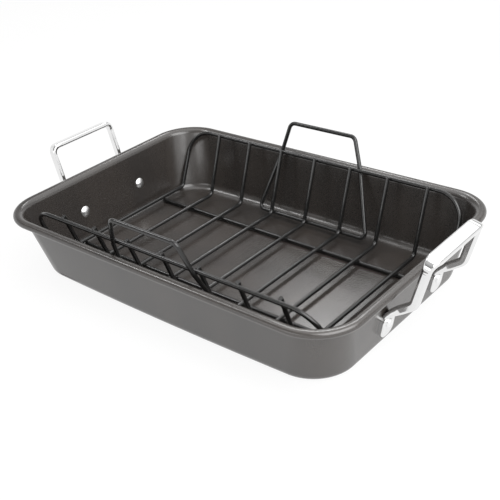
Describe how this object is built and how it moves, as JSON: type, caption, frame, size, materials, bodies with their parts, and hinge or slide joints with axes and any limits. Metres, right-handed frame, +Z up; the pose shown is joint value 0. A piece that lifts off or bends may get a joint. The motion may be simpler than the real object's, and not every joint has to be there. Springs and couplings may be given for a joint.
{
  "type": "roasting pan with rack",
  "caption": "Rectangular metal roasting pan with riveted bail handles and a welded wire rack that stands on the floor and lifts out by two loop handles.",
  "frame": {"origin": "centre of the flat underside of the pan, on the surface it stands on", "axes": "+X along the pan towards one bail handle, +Y across it, +Z up, the way the rack lifts out"},
  "size_m": [0.4582, 0.28, 0.1012],
  "materials": {
    "pan_coating": "semi-gloss grey non-stick coating",
    "rack_coating": "gloss black non-stick coating",
    "handle_steel": "bright polished",
    "rivet_steel": "satin"
  },
  "bodies": {
    "pan": {"pan_shell": "pan_coating", "handle_right": "handle_steel", "handle_left": "handle_steel", "rivet_right_front": "rivet_steel", "rivet_right_back": "rivet_steel", "rivet_left_front": "rivet_steel", "rivet_left_back": "rivet_steel"},
    "rack": {"rack_frame_wire": "rack_coating", "rack_rib_1": "rack_coating", "rack_rib_2": "rack_coating", "rack_rib_3": "rack_coating", "rack_rib_4": "rack_coating", "rack_rib_5": "rack_coating", "rack_rib_6": "rack_coating", "rack_rib_7": "rack_coating", "rack_runner_front": "rack_coating", "rack_runner_back": "rack_coating", "rack_lift_handle_front": "rack_coating", "rack_lift_handle_back": "rack_coating"}
  },
  "joints": [
    {"name": "rack_lift_out", "type": "slide", "parent": "pan", "child": "rack", "axis": [0, 0, 1], "range_m": [0, 0.075]}
  ]
}
